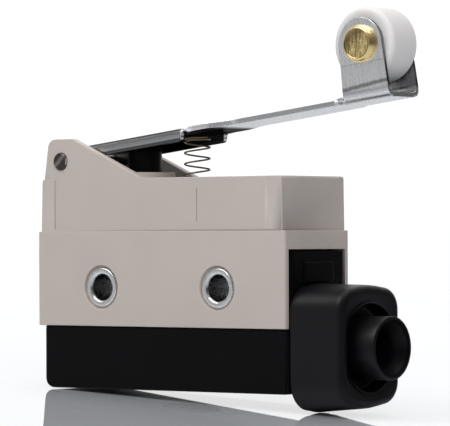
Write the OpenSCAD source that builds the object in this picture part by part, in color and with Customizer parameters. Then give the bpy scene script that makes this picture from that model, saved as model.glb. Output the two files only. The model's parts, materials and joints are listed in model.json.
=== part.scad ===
// Enclosed limit switch with a hinged roller lever, millimetres, +Z up.
// Origin: centre of the two mounting holes, on the body's middle plane.
// +X runs along the body to the cable inlet, -Y is the front face.

/* [Mounting holes] */
// Distance between the two mounting holes
hole_pitch = 25.4; // [25.0:0.1:25.8]
// Radius of the bore in each mounting bushing
hole_r = 2.15; // [2.05:0.05:2.2]
// Radius of the bushing's tube
bushing_r = 2.9; // [2.8:0.05:3.0]

/* [Housing] */
// Left end of the lower case, measured from the origin
case_left = 27.1; // [26.6:0.1:27.2]
// Right end of the lower case, measured from the origin
case_right = 27; // [26.9:0.05:27.2]
// Full thickness of the lower case over its mounting pads
case_thickness = 17.45; // [17.3:0.05:17.8]
// Height of the seam between the two case halves above the hole line
seam_z = 9.5; // [9.4:0.1:9.7]
// Height of the upper case's roof above the hole line
roof_z = 18.5; // [18.4:0.1:18.7]
// Depth of the lower case's bottom edge below the hole line
skirt_depth = 6.6; // [6.5:0.1:6.7]
// Depth of the terminal cover's floor below the hole line
floor_depth = 17.3; // [17.0:0.1:17.6]
// Width of the flat pad around each mounting hole
pad_w = 11.2; // [10:0.2:14]

/* [Lever] */
// Rise of the lever at rest, in degrees
lever_rise = 6.8; // [6.5:0.1:7.2]
// Thickness of the lever's sheet steel
sheet_t = 0.85; // [0.8:0.05:0.9]
// Distance from the hinge pin to the roller's axis, along the lever
roller_reach = 63.26; // [60:0.02:66]
// Height of the roller's axis above the hinge pin, square to the lever
roller_lift = 10.62; // [10.4:0.02:11]
// Radius of the hinge pin
pin_r = 1.45; // [1.3:0.05:1.5]

/* [Roller] */
// Radius of the roller
roller_r = 6.05; // [5.5:0.05:6.1]
// Width of the roller
roller_w = 6.8; // [6.0:0.1:6.9]

/* [Cable cap] */
// Length of the cap's block, without its nozzle
cap_l = 10.9; // [10:0.1:11]
// Width of the cap
cap_w = 16; // [15.6:0.1:16.2]
// Height of the cap
cap_h = 21.25; // [20.6:0.05:21.35]
// Radius of the cable hole
cable_r = 3.4; // [3.0:0.1:3.6]
// How far the nozzle stands out of the block
nozzle_l = 4.2; // [3.5:0.1:5]

/* [Hidden] */
$fn = 64;
eps = 0.01;

// Lower case
case_y = case_thickness / 2;
pad_step = 0.05;
pad_slope = 0.5;
wall_y = case_y - pad_step;
inner_y = 7.3;
inner_left = -25.3;
inner_right = 25.6;
case_corner_r = 0.5;
window_y = 7.6;
window_top = 6.4;
bush_recess_r = 3.7;
bush_recess = 0.55;
bush_flange_r = 3.3;
bush_flange_t = 0.4;
hole_x = hole_pitch / 2;
rabbet_w = 0.6;
rabbet_h = 0.8;

// Upper case
upper_y = 8.43;
panel_y = 8.2;
panel_x0 = -23.5;
panel_x1 = 23.5;
panel_z0 = 9.95;
panel_runout = 26;
divider_x = 8.05;
divider_w = 0.22;
divider_t = 0.12;
upper_wall = 1.05;
roof_t = 1.6;
ear_t = 1.42;
pin_x = -22.2;
pin_z = 21.55;
pin_proud = 0.08;
ear_top_z = 25.4;

// Plunger and the parts along its axis
plunger_x = -10.2;
plunger_r = 1.9;
plunger_top = 23.9;
plunger_bottom = 13.9;
plunger_bore_r = 1.3;
plunger_bore_top = 21.5;
stop_flange_r = 2.6;
boot_r = 2.97;
boot_top = 24.2;
boot_flange_r = 4.55;
boot_flange_z = 17.8;
boot_flange_t = 0.6;
collar_r = 5.25;
collar_h = 1.05;
bush_z = 16.3;

// Return spring
spring_x = 1.5;
spring_mean_r = 2.15;
spring_wire_r = 0.17;
spring_pocket_r = 2.75;
spring_pocket = 0.9;
spring_top = 25.5;

// Inner switch
switch_x = 24.4;
switch_y = 7.0;
switch_bottom = -5;
switch_top = 11.5;
switch_wall = 1.5;
switch_floor = 1.8;
cover_y = 5.7;
boss_r = 4.2;
strip_t = 0.7;
strip_y = 2.4;
tab_y = 3.4;
tab_t = 1;
blade_t = 0.4;
blade_z = 7.2;
blade_y = 2.2;
blade_x0 = -20.9;
blade_x1 = 19.9;
common_leg_x = -20.7;
open_leg_x = 4.2;
closed_leg_x = 22.1;
contact_x = 18.5;
contact_r = 1.3;
open_strip_z = 4.5;
closed_strip_z = 8.5;
screw_xs = [-16.6, 8.2, 18.6];
terminal_screw_r = 1.48;

// Terminal cover
cover_x0 = -26.15;
cover_x1 = 27.2;
cover_half_y = 8.15;
cover_wall = 1.3;
cover_floor = 1.5;
tongue_y = 7.2;
tongue_top = 6.1;
tongue_t = 1.5;
tongue_edge_r = 0.7;
latch_y = 3.9;
latch_top = 4.4;
latch_t = 0.3;
inlet_z = -9.65;
spigot_r = 5.6;
spigot_l = 3.1;
inlet_r = 4;
cap_bottom = -20.45;
cap_top = cap_bottom + cap_h;
cap_top_r = 4.2;
cap_foot_r = 4.8;
cap_crown = 0.4;
cap_end_top_r = 3.6;
cap_end_foot_r = 3.8;
cap_top_draft = 0.25;
cap_foot_draft = 1;
cap_edge_r = 1;
nozzle_r = 5.2;
groove_r = 7.25;
groove_depth = 3.4;
funnel_r = 4.75;
funnel_l = 2.9;

// Lever, in its own frame: u along the lever, w square to it, both from the hinge pin
lever_top = 2.28;
lever_under = lever_top - sheet_t;
wide_y = 6.25;
strip_half = 4.15;
bracket_shift = -0.2;
roller_shift = -0.25;
bracket_y = 4.2;
bracket_ear_t = 0.6;
channel_end = 25.9;
taper_start = 31;
taper_end = 35.4;
bracket_ear_r = 4.6;
bracket_u0 = roller_reach - bracket_ear_r - 0.1;
lever_end = roller_reach + bracket_ear_r;
ear_foot_w = lever_top + 1.2;
rivet_r = 1.5;
rivet_head_r = 3.05;
rivet_head_t = 1.25;

// ---------- shared shapes ----------

// Straight round bars along Y, X and Z
module rod_y(x, z, r, y0, y1) {
    translate([x, y1, z]) rotate([90, 0, 0]) cylinder(r = r, h = y1 - y0);
}

module rod_x(y, z, r, x0, x1) {
    translate([x0, y, z]) rotate([0, 90, 0]) cylinder(r = r, h = x1 - x0);
}

module rod_z(x, y, r, z0, z1) {
    translate([x, y, z0]) cylinder(r = r, h = z1 - z0);
}

// Box between two corners
module block(a, b) {
    translate(a) cube(b - a);
}

// An outline in X and Z, pulled out from y0 to y1
module slab_y(y0, y1) {
    translate([0, y1, 0]) rotate([90, 0, 0]) linear_extrude(height = y1 - y0) children();
}

// Rectangle with round corners
module round_rect(x0, y0, x1, y1, r) {
    translate([x0 + r, y0]) square([x1 - x0 - 2 * r, y1 - y0]);
    translate([x0, y0 + r]) square([x1 - x0, y1 - y0 - 2 * r]);
    for (x = [x0 + r, x1 - r], y = [y0 + r, y1 - r]) translate([x, y]) circle(r = r);
}

// Upright box with round vertical edges
module round_block(a, b, r) {
    translate([0, 0, a[2]]) linear_extrude(height = b[2] - a[2])
        round_rect(a[0], a[1], b[0], b[1], r);
}

// Points of an arc about c, from angle a0 to a1
function arc(c, r, a0, a1, n = 12) =
    [for (i = [0 : n]) let (a = a0 + (a1 - a0) * i / n) [c[0] + r * cos(a), c[1] + r * sin(a)]];

// A round wire wound up around Z, its first and last coils closed
module coil(mean_r, wire_r, z0, z1, turns, closed = 1.2, sides = 8, steps = 18) {
    n = round(turns * steps);
    pitch = (z1 - z0 - 2 * wire_r - 2 * closed * 2.2 * wire_r) / (turns - 2 * closed);
    function height(t) =
        z0 + wire_r + 2.2 * wire_r * min(t, closed) + pitch * max(0, min(t, turns - closed) - closed)
        + 2.2 * wire_r * max(0, t - turns + closed);
    points = [for (i = [0 : n], k = [0 : sides - 1])
        let (a = 360 * i / steps, b = 360 * k / sides, r = mean_r + wire_r * cos(b))
        [r * cos(a), r * sin(a), height(i / steps) + wire_r * sin(b)]];
    sides_faces = [for (i = [0 : n - 1], k = [0 : sides - 1])
        let (m = (k + 1) % sides)
        [i * sides + k, (i + 1) * sides + k, (i + 1) * sides + m, i * sides + m]];
    first = [[for (k = [0 : sides - 1]) k]];
    last = [[for (k = [sides - 1 : -1 : 0]) n * sides + k]];
    polyhedron(points = points, faces = concat(sides_faces, first, last), convexity = 10);
}

// ---------- housing ----------

// Side outline of the upper case without its ears: both ends lean in a little
module upper_outline() {
    top_r = 0.5;
    polygon(concat(
        [[-26.5, seam_z], [26.3, seam_z]],
        arc([26.2 - top_r, roof_z - top_r], top_r, 0, 90, 6),
        arc([-26.3 + top_r, roof_z - top_r], top_r, 90, 180, 6)));
}

// Side outline of one hinge ear, from the left end down its slope to the roof
module ear_outline() {
    corner_r = 1.6;
    slope_r = 1;
    polygon(concat(
        [[-26, roof_z - 1], [-3.8, roof_z - 1], [-4, roof_z]],
        arc([-19.9, ear_top_z - slope_r], slope_r, 66.3, 90, 4),
        arc([-25.2 + corner_r, ear_top_z - corner_r], corner_r, 90, 174, 8),
        [[-26, roof_z]]));
}

// The front panel's sunk face, with its right end run out in a shallow hollow
module panel_cut() {
    depth = upper_y - panel_y;
    hollow_r = depth / (1 - cos(panel_runout));
    run = hollow_r * sin(panel_runout);
    translate([0, 0, panel_z0]) linear_extrude(height = ear_top_z + 1 - panel_z0) polygon(concat(
        [[panel_x1, -upper_y - 1], [panel_x0, -upper_y - 1], [panel_x0, -panel_y]],
        arc([panel_x1 - run, -panel_y - hollow_r], hollow_r, 90, 90 - panel_runout, 5)));
}

module upper_case() {
    color("#b9b0a6") difference() {
        union() {
            slab_y(-upper_y, upper_y) upper_outline();
            for (s = [-1, 1])
                slab_y(min(s * panel_y, s * (panel_y - ear_t)), max(s * panel_y, s * (panel_y - ear_t)))
                    ear_outline();
            rod_z(plunger_x, 0, collar_r, roof_z - eps, roof_z + collar_h);
        }
        for (s = [0, 1]) mirror([0, s, 0]) {
            panel_cut();
            block([divider_x - divider_w / 2, -panel_y - 1, 11.05],
                [divider_x + divider_w / 2, -panel_y + divider_t, 16.5]);
        }
        difference() {
            block([-24.7, -panel_y + upper_wall, seam_z - 1], [25, panel_y - upper_wall, roof_z - roof_t]);
            rod_z(plunger_x, 0, 6, bush_z, roof_z);
        }
        rod_z(plunger_x, 0, boot_flange_r + 0.05, seam_z, boot_flange_z + boot_flange_t);
        rod_z(plunger_x, 0, boot_r + 0.15, roof_z - 1, roof_z + collar_h + 1);
        rod_z(spring_x, 0, spring_pocket_r, roof_z - spring_pocket, roof_z + 1);
        rod_y(pin_x, pin_z, pin_r + 0.02, -panel_y - 1, panel_y + 1);
    }
}

module lower_case() {
    color("#bfb7ac") difference() {
        union() {
            round_block([-case_left, -wall_y, -skirt_depth], [case_right, wall_y, seam_z], case_corner_r);
            for (x = [-hole_x, hole_x], s = [0, 1]) mirror([0, s, 0])
                translate([x, 0, -skirt_depth]) linear_extrude(height = seam_z + skirt_depth)
                    polygon([[-pad_w / 2, 0], [-pad_w / 2, -wall_y], [-pad_w / 2 + pad_slope, -case_y],
                        [pad_w / 2 - pad_slope, -case_y], [pad_w / 2, -wall_y], [pad_w / 2, 0]]);
        }
        block([inner_left, -inner_y, -skirt_depth - 1], [inner_right, inner_y, seam_z + 1]);
        block([inner_left - rabbet_w, -inner_y - rabbet_w, seam_z - rabbet_h],
            [inner_right + rabbet_w, inner_y + rabbet_w, seam_z + 1]);
        block([inner_right - 1, -window_y, -skirt_depth - 1], [case_right + 1, window_y, window_top]);
        for (x = [-hole_x, hole_x]) {
            rod_y(x, 0, bushing_r, -case_y - 1, case_y + 1);
            for (s = [-1, 1])
                translate([0, s * (case_y - bush_recess / 2), 0])
                    rod_y(x, 0, bush_recess_r, -bush_recess / 2 - (s < 0 ? 1 : 0),
                        bush_recess / 2 + (s > 0 ? 1 : 0));
        }
    }
}

// One bushing: a tube with a lip turned out at each end
module bushing() {
    half = case_y - bush_recess;
    lip = bush_flange_t;
    rotate([90, 0, 0]) rotate_extrude() polygon(concat(
        [[hole_r, -half - lip + 0.3], [hole_r, half + lip - 0.3]],
        arc([hole_r + 0.3, half + lip - 0.3], 0.3, 180, 90, 5),
        arc([bush_flange_r - 0.2, half + lip - 0.2], 0.2, 90, 0, 4),
        [[bush_flange_r, half], [bushing_r, half], [bushing_r, -half], [bush_flange_r, -half]],
        arc([bush_flange_r - 0.2, -half - lip + 0.2], 0.2, 0, -90, 4),
        arc([hole_r + 0.3, -half - lip + 0.3], 0.3, -90, -180, 5)));
}

module mounting_bushings() {
    color("#c8c8c4") for (x = [-hole_x, hole_x]) translate([x, 0, 0]) bushing();
}

module case_gasket() {
    color("#303030") difference() {
        block([inner_left - rabbet_w, -inner_y - rabbet_w, seam_z - rabbet_h],
            [inner_right + rabbet_w, inner_y + rabbet_w, seam_z]);
        block([inner_left, -inner_y, seam_z - 2], [inner_right, inner_y, seam_z + 1]);
    }
}

module hinge_pin() {
    color("#8f9194") rod_y(pin_x, pin_z, pin_r, -panel_y - pin_proud, panel_y + pin_proud);
}

// ---------- terminal cover and cable inlet ----------

module cover_outline() {
    foot_r = 2;
    polygon(concat(
        [[cover_x1, -skirt_depth], [cover_x0, -skirt_depth]],
        arc([cover_x0 + foot_r, -floor_depth + foot_r], foot_r, 180, 270, 8),
        arc([cover_x1 - 1, -floor_depth + 1], 1, 270, 360, 6)));
}

module terminal_cover() {
    lid_y = cover_half_y - cover_wall;
    color("#26262a") difference() {
        union() {
            intersection() {
                slab_y(-cover_half_y, cover_half_y) cover_outline();
                round_block([cover_x0, -cover_half_y, -floor_depth - 1], [cover_x1, cover_half_y, 0], 0.7);
            }
            round_block([cover_x1 - tongue_t, -tongue_y, -skirt_depth - 1], [cover_x1, tongue_y, tongue_top],
                tongue_edge_r);
            block([cover_x1 - 1, -latch_y, cap_top + 0.05], [cover_x1 + latch_t, latch_y, latch_top]);
            rod_x(0, inlet_z, spigot_r, cover_x1 - 1, cover_x1 + spigot_l);
        }
        difference() {
            block([cover_x0 + cover_wall, -lid_y, -floor_depth + cover_floor], [26, lid_y, -skirt_depth + 1]);
            rod_z(0, 0, 3.4, -floor_depth, -7.3);
        }
        block([cover_x0 + 0.7, -7.5, -7.4], [cover_x1 - tongue_t, 7.5, -skirt_depth + 1]);
        block([25, -lid_y, -7.4], [26, lid_y, -5]);
        rod_x(0, inlet_z, inlet_r, 25, cover_x1 + spigot_l + 1);
        rod_z(0, 0, 5.2, -floor_depth - 1, -floor_depth + 0.8);
        rod_z(0, 0, 2.95, -floor_depth - 1, -14.4);
        rod_z(0, 0, 1.7, -floor_depth - 1, 0);
    }
}

module terminal_gasket() {
    color("#303030") difference() {
        block([cover_x0 + 0.7, -7.5, -7.4], [cover_x1 - tongue_t, 7.5, -skirt_depth]);
        block([cover_x0 + cover_wall, -cover_half_y + cover_wall, -8], [25.3, cover_half_y - cover_wall, 0]);
    }
}

module cover_screw() {
    color("#b4b6b8") difference() {
        union() {
            rod_z(0, 0, 2.75, -16.2, -14.4);
            rod_z(0, 0, 1.48, -14.4, -4);
        }
        block([-0.4, -3, -17], [0.4, 3, -15.5]);
        block([-3, -0.4, -17], [3, 0.4, -15.5]);
    }
}

module cover_insert() {
    color("#c9a24a") difference() {
        rod_z(0, 0, 2.3, -7.2, -3.6);
        rod_z(0, 0, 1.5, -8, -3);
    }
}

// A round bar along X whose outer edge is rolled over
module cap_bar(x, length, y, z, r, edge) {
    translate([x, y, z]) rotate([0, 90, 0]) rotate_extrude($fn = 32) polygon(concat(
        [[0, 0], [r, 0]],
        arc([r - edge, length - edge], edge, 0, 90, 4),
        [[0, length]]));
}

// Six bars that outline the cap's block at one place along X, crowned at the top and bottom
module cap_ring(x, length, top_z, foot_z, top_r, foot_r, edge) {
    for (s = [-1, 0, 1]) {
        sag = cap_crown * abs(s);
        cap_bar(x, length, s * (cap_w / 2 - top_r), top_z - sag - top_r, top_r, edge);
        cap_bar(x, length, s * (cap_w / 2 - foot_r), foot_z + sag + foot_r, foot_r, edge);
    }
}

module cable_cap() {
    cap_end = cover_x1 + cap_l;
    groove_end = cap_end - groove_depth;
    rim = cap_end + nozzle_l;
    color("#201f24") difference() {
        union() {
            difference() {
                hull() {
                    cap_ring(cover_x1, 1, cap_top, cap_bottom, cap_top_r, cap_foot_r, 0.3);
                    cap_ring(cap_end - 2, 2, cap_top - cap_top_draft, cap_bottom + cap_foot_draft,
                        cap_end_top_r, cap_end_foot_r, cap_edge_r);
                }
                rod_x(0, inlet_z, groove_r, groove_end, cap_end + 1);
            }
            rod_x(0, inlet_z, nozzle_r, groove_end - 1, rim);
        }
        rod_x(0, inlet_z, cable_r, cover_x1 - 1, rim + 1);
        rod_x(0, inlet_z, spigot_r + 0.02, cover_x1 - 1, cover_x1 + spigot_l + 0.05);
        translate([rim - funnel_l, 0, inlet_z]) rotate([0, 90, 0])
            cylinder(r1 = cable_r, r2 = funnel_r, h = funnel_l + eps);
    }
}

// ---------- inner switch ----------

module switch_case() {
    in_x = switch_x - switch_wall;
    color("#5a2d24") difference() {
        union() {
            block([-switch_x, -switch_y, switch_bottom], [switch_x, cover_y, switch_top]);
            rod_z(0, 0, 3.6, -7.2, switch_bottom + eps);
        }
        difference() {
            block([-in_x, -switch_y + 1.4, switch_bottom + switch_floor],
                [in_x, cover_y + 1, switch_top - switch_wall]);
            for (x = [-hole_x, hole_x]) rod_y(x, 0, boss_r, -switch_y, switch_y);
            rod_z(0, 0, 3.2, -switch_floor - 4, -2.6);
        }
        for (x = [-hole_x, hole_x]) rod_y(x, 0, bushing_r + 0.05, -switch_y - 1, switch_y + 1);
        for (x = screw_xs) rod_z(x, 0, terminal_screw_r + 0.1, switch_bottom - 1, -3.5);
        rod_z(0, 0, 2.3, -8, -3.6);
        rod_z(plunger_x, 0, 0.86, 0, switch_top + 1);
        for (x = [common_leg_x, open_leg_x, closed_leg_x])
            block([x - 0.05, -3.05, switch_bottom - 1], [x + strip_t + 0.15, 3.05, switch_bottom + 2]);
    }
}

module switch_cover() {
    color("#6d3a2e") difference() {
        union() {
            block([-switch_x, cover_y, switch_bottom], [switch_x, switch_y, switch_top]);
            block([-switch_x + 1.7, cover_y - 0.6, -2.9], [-18, cover_y, switch_top - 1.8]);
        }
        for (x = [-hole_x, hole_x]) rod_y(x, 0, bushing_r + 0.05, 0, switch_y + 1);
    }
}

// A screw tab under the inner switch, with a clear hole for its screw
module tab(x0, x1, screw_x) {
    difference() {
        block([x0, -tab_y, switch_bottom - tab_t], [x1, tab_y, switch_bottom]);
        rod_z(screw_x, 0, terminal_screw_r + 0.02, switch_bottom - 3, switch_bottom + 1);
    }
}

module common_terminal() {
    color("#c8a04c") {
        tab(common_leg_x, -13.2, screw_xs[0]);
        difference() {
            block([common_leg_x, -3, switch_bottom - eps], [common_leg_x + strip_t + 0.1, 3, 8.1]);
            block([common_leg_x - 1, -blade_y - 0.2, blade_z - 0.45],
                [common_leg_x + 2, blade_y + 0.2, blade_z + 0.45]);
        }
    }
}

module open_terminal() {
    color("#c8a04c") {
        tab(open_leg_x, 11.2, screw_xs[1]);
        block([open_leg_x, -strip_y, switch_bottom - eps], [open_leg_x + strip_t, strip_y, open_strip_z]);
        block([open_leg_x, -strip_y, open_strip_z - eps], [20.2, strip_y, open_strip_z + strip_t]);
    }
}

module closed_terminal() {
    color("#c8a04c") {
        tab(15.2, closed_leg_x + strip_t, screw_xs[2]);
        block([closed_leg_x, -strip_y, switch_bottom - eps],
            [closed_leg_x + strip_t, strip_y, closed_strip_z + eps]);
        block([16.5, -strip_y, closed_strip_z], [closed_leg_x + strip_t, strip_y, closed_strip_z + strip_t]);
    }
}

module open_contact() {
    color("#d9d9d6") rod_z(contact_x, 0, contact_r, open_strip_z + strip_t, open_strip_z + strip_t + 0.4);
}

module closed_contact() {
    color("#d9d9d6") rod_z(contact_x, 0, contact_r, closed_strip_z - 0.6, closed_strip_z);
}

module terminal_washers() {
    color("#b9bbbd") for (x = screw_xs) difference() {
        block([x - 2.9, -3, switch_bottom - tab_t - 0.8], [x + 2.9, 3, switch_bottom - tab_t]);
        rod_z(x, 0, terminal_screw_r + 0.05, -9, -5);
    }
}

module terminal_screws() {
    head_z = switch_bottom - tab_t - 0.8;
    color("#c6c8ca") for (x = screw_xs) difference() {
        union() {
            rod_z(x, 0, 2.7, head_z - 1.8, head_z);
            rod_z(x, 0, terminal_screw_r, head_z - eps, -3.7);
        }
        block([x - 3, -0.4, head_z - 3], [x + 3, 0.4, head_z - 1]);
        block([x - 0.4, -2, head_z - 3], [x + 0.4, 2, head_z - 1]);
    }
}

module snap_blade() {
    color("#c58a4a") difference() {
        block([blade_x0, -blade_y, blade_z - blade_t / 2], [blade_x1, blade_y, blade_z + blade_t / 2]);
        block([-6, -0.9, blade_z - 1], [12, 0.9, blade_z + 1]);
        rod_z(contact_x, 0, 0.6, blade_z - 1, blade_z + 1);
    }
}

module moving_contact() {
    color("#d9d9d6") {
        rod_z(contact_x, 0, 0.58, blade_z - 0.5, blade_z + 0.5);
        rod_z(contact_x, 0, contact_r, blade_z + blade_t / 2, blade_z + 0.6);
        rod_z(contact_x, 0, contact_r, blade_z - 0.6, blade_z - blade_t / 2);
    }
}

module switch_button() {
    color("#b0302a") {
        rod_z(plunger_x, 0, 0.8, blade_z + blade_t / 2 + 0.1, 16);
        rod_z(plunger_x, 0, 1.8, 8.8, 9.6);
        rod_z(plunger_x, 0, 1.1, 15.9, 16.5);
    }
}

module overtravel_spring() {
    color("#9a9c9e") translate([plunger_x, 0, 0]) coil(1.0, 0.14, 16.52, plunger_bore_top - 0.02, 7);
}

module plunger() {
    color("#b4b6b8") difference() {
        union() {
            rod_z(plunger_x, 0, plunger_r, plunger_bottom, plunger_top);
            rod_z(plunger_x, 0, stop_flange_r, 14.9, bush_z - 0.1);
        }
        rod_z(plunger_x, 0, plunger_bore_r, plunger_bottom - 1, plunger_bore_top);
    }
}

module plunger_bush() {
    color("#e2dccd") difference() {
        rod_z(plunger_x, 0, boot_flange_r, bush_z, boot_flange_z);
        rod_z(plunger_x, 0, plunger_r + 0.05, bush_z - 1, boot_flange_z + 1);
    }
}

module plunger_boot() {
    color("#1b1b1d") translate([plunger_x, 0, 0]) rotate_extrude() polygon([
        [plunger_r + 0.12, boot_flange_z], [boot_flange_r, boot_flange_z],
        [boot_flange_r, boot_flange_z + boot_flange_t], [boot_r, boot_flange_z + boot_flange_t],
        [boot_r, boot_top - 0.9], [boot_r - 0.12, boot_top - 0.6], [boot_r - 0.45, boot_top - 0.3],
        [1.9, boot_top - 0.08], [1, boot_top], [0, boot_top],
        [0, plunger_top + 0.02], [plunger_r + 0.12, plunger_top + 0.02]]);
}

// ---------- lever, spring and roller ----------

// Places a shape drawn in the lever's own frame
module on_lever() {
    translate([pin_x, 0, pin_z]) rotate([0, -lever_rise, 0]) children();
}

module lever_plan() {
    polygon([[1.2, -wide_y], [taper_start, -wide_y], [taper_end, -strip_half], [bracket_u0, -strip_half],
        [bracket_u0, bracket_shift - bracket_y], [lever_end, bracket_shift - bracket_y],
        [lever_end, bracket_shift + bracket_y], [bracket_u0, bracket_shift + bracket_y],
        [bracket_u0, strip_half], [taper_end, strip_half], [taper_start, wide_y], [1.2, wide_y]]);
}

// Side flange of the lever's channel, with a round lobe at the hinge pin
module flange_outline() {
    end_r = 0.8;
    flange_w = 0.03;
    circle(r = 2.3);
    polygon(concat(
        [[-0.4, lever_top], [-0.4, 0], [1.6, -0.9], [5, flange_w]],
        arc([channel_end - end_r, flange_w + end_r], end_r, -90, 0, 6),
        [[channel_end, lever_top]]));
}

module bracket_outline() {
    translate([roller_reach, roller_lift]) circle(r = bracket_ear_r);
    translate([roller_reach - bracket_ear_r, ear_foot_w - 0.2])
        square([2 * bracket_ear_r, roller_lift - ear_foot_w + 0.2]);
}

module lever() {
    color("#c9cacc") on_lever() difference() {
        union() {
            translate([0, 0, lever_under]) linear_extrude(height = sheet_t) lever_plan();
            for (s = [0, 1]) mirror([0, s, 0]) slab_y(wide_y - sheet_t, wide_y) flange_outline();
            translate([0, bracket_shift, 0]) for (s = [0, 1]) mirror([0, s, 0]) {
                slab_y(bracket_y - sheet_t, bracket_y)
                    translate([roller_reach - bracket_ear_r, lever_under])
                        square([2 * bracket_ear_r, ear_foot_w - lever_under]);
                slab_y(bracket_y - bracket_ear_t, bracket_y) bracket_outline();
            }
        }
        rod_y(0, 0, pin_r + 0.06, -wide_y - 1, wide_y + 1);
        rod_y(roller_reach, roller_lift, rivet_r + 0.02, -bracket_y - 1, bracket_y + 1);
    }
}

module return_spring() {
    color("#8a7a5c") translate([spring_x, 0, 0])
        coil(spring_mean_r, spring_wire_r, roof_z - spring_pocket + 0.02, spring_top, 6);
}

module roller() {
    front_edge = 0.3;
    back_edge = 0.5;
    color("#eeeeec") on_lever() translate([roller_reach, roller_shift, roller_lift]) rotate([90, 0, 0])
        rotate_extrude($fn = 96) polygon(concat(
            [[rivet_r + 0.05, -roller_w / 2]],
            arc([roller_r - back_edge, -roller_w / 2 + back_edge], back_edge, -90, 0, 6),
            arc([roller_r - front_edge, roller_w / 2 - front_edge], front_edge, 0, 90, 5),
            [[rivet_r + 0.05, roller_w / 2]]));
}

module roller_rivet() {
    chamfer = 0.4;
    back_head_r = 2.8;
    back_head_t = 0.9;
    y0 = bracket_y + 0.005;
    color("#c9a227") on_lever() translate([roller_reach, bracket_shift, roller_lift]) rotate([90, 0, 0])
        rotate_extrude() polygon([[0, -y0 - back_head_t], [back_head_r - chamfer, -y0 - back_head_t],
            [back_head_r, -y0 - back_head_t + chamfer], [back_head_r, -y0], [rivet_r, -y0],
            [rivet_r, y0], [rivet_head_r, y0], [rivet_head_r, y0 + rivet_head_t - chamfer],
            [rivet_head_r - chamfer, y0 + rivet_head_t], [0, y0 + rivet_head_t]]);
}

upper_case();
lower_case();
mounting_bushings();
case_gasket();
terminal_cover();
terminal_gasket();
cover_screw();
cover_insert();
cable_cap();
switch_case();
switch_cover();
common_terminal();
open_terminal();
closed_terminal();
open_contact();
closed_contact();
terminal_washers();
terminal_screws();
snap_blade();
moving_contact();
switch_button();
overtravel_spring();
plunger();
plunger_bush();
plunger_boot();
hinge_pin();
lever();
return_spring();
roller();
roller_rivet();
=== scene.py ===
"""Looks of an enclosed limit switch with a roller lever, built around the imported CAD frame."""

import json
import math

import bmesh
import bpy
from mathutils import Matrix, Vector, noise

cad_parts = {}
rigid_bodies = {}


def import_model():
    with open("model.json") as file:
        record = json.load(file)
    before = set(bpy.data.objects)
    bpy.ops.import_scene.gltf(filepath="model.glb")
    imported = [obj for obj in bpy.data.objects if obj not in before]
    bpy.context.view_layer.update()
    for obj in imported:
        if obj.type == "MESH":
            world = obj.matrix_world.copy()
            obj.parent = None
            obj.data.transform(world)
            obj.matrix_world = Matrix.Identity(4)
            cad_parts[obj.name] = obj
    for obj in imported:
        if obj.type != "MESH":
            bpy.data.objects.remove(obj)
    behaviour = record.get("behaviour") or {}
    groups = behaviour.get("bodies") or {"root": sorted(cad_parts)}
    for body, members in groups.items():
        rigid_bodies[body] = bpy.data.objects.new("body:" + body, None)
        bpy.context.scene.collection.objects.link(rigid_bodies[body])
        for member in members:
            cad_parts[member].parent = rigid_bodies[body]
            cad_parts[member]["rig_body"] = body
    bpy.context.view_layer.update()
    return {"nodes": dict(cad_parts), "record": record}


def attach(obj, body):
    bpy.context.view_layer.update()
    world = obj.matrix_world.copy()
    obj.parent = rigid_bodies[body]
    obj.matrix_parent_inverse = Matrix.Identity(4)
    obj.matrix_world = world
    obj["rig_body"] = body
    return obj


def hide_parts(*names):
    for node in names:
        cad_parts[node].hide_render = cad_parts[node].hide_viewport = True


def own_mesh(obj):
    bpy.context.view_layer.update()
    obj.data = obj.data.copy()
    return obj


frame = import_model()
NODES = frame["nodes"]
MM = 0.001

# ---------- sizes in millimetres, as the CAD has them ----------
HOLE_X, BORE_R = 12.7, 2.15
CASE_Y, PANEL_Y = 8.725, 8.2
PANEL_Z, ROOF_Z = 9.95, 18.5
PIN_X, PIN_Z, PIN_R = -22.2, 21.55, 1.45
PLUNGER_X, SPRING_X = -10.2, 1.5
LEVER_RISE = math.radians(6.8)
SHEET_T, EAR_T = 0.85, 0.6
LEVER_TOP, FLANGE_W = 2.28, 0.03
WIDE_Y, STRIP_HALF = 6.25, 4.15
TAPER_START, TAPER_END = 31.0, 35.4
ROLLER_REACH, ROLLER_LIFT = 63.26, 10.62
ROLLER_R, ROLLER_W, ROLLER_SHIFT = 6.05, 6.8, -0.25
RIVET_R, EAR_R = 1.5, 4.6
BRACKET_U0, LEVER_END = ROLLER_REACH - EAR_R - 0.1, ROLLER_REACH + EAR_R
BRACKET_SHIFT, BRACKET_Y = -0.2, 4.2
CREASE_W = ROLLER_LIFT - 3.1
COVER_X1, INLET_Z = 27.2, -9.65
CAP_TOP, CAP_BOTTOM, CAP_HALF = 0.8, -20.45, 8.0
CAP_L, NOZZLE_L = 10.9, 4.2
CABLE_R = 3.4

# The channel's flanges end 0.4 mm earlier here than in the CAD, where the sheared corner curls up
CHANNEL_END = 25.5


# ---------- mesh helpers ----------

def add_object(name, bm, material):
    """Makes a smooth object from a bmesh in millimetres."""
    bmesh.ops.recalc_face_normals(bm, faces=bm.faces)
    bmesh.ops.scale(bm, vec=(MM, MM, MM), verts=bm.verts)
    mesh = bpy.data.meshes.new(name)
    bm.to_mesh(mesh)
    bm.free()
    mesh.polygons.foreach_set("use_smooth", [True] * len(mesh.polygons))
    mesh.materials.append(material)
    obj = bpy.data.objects.new(name, mesh)
    bpy.context.scene.collection.objects.link(obj)
    return obj


def place_piece(obj, body, node):
    """The object rides on a body and stands for a CAD node."""
    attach(obj, body)
    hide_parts(node)
    return obj


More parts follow.
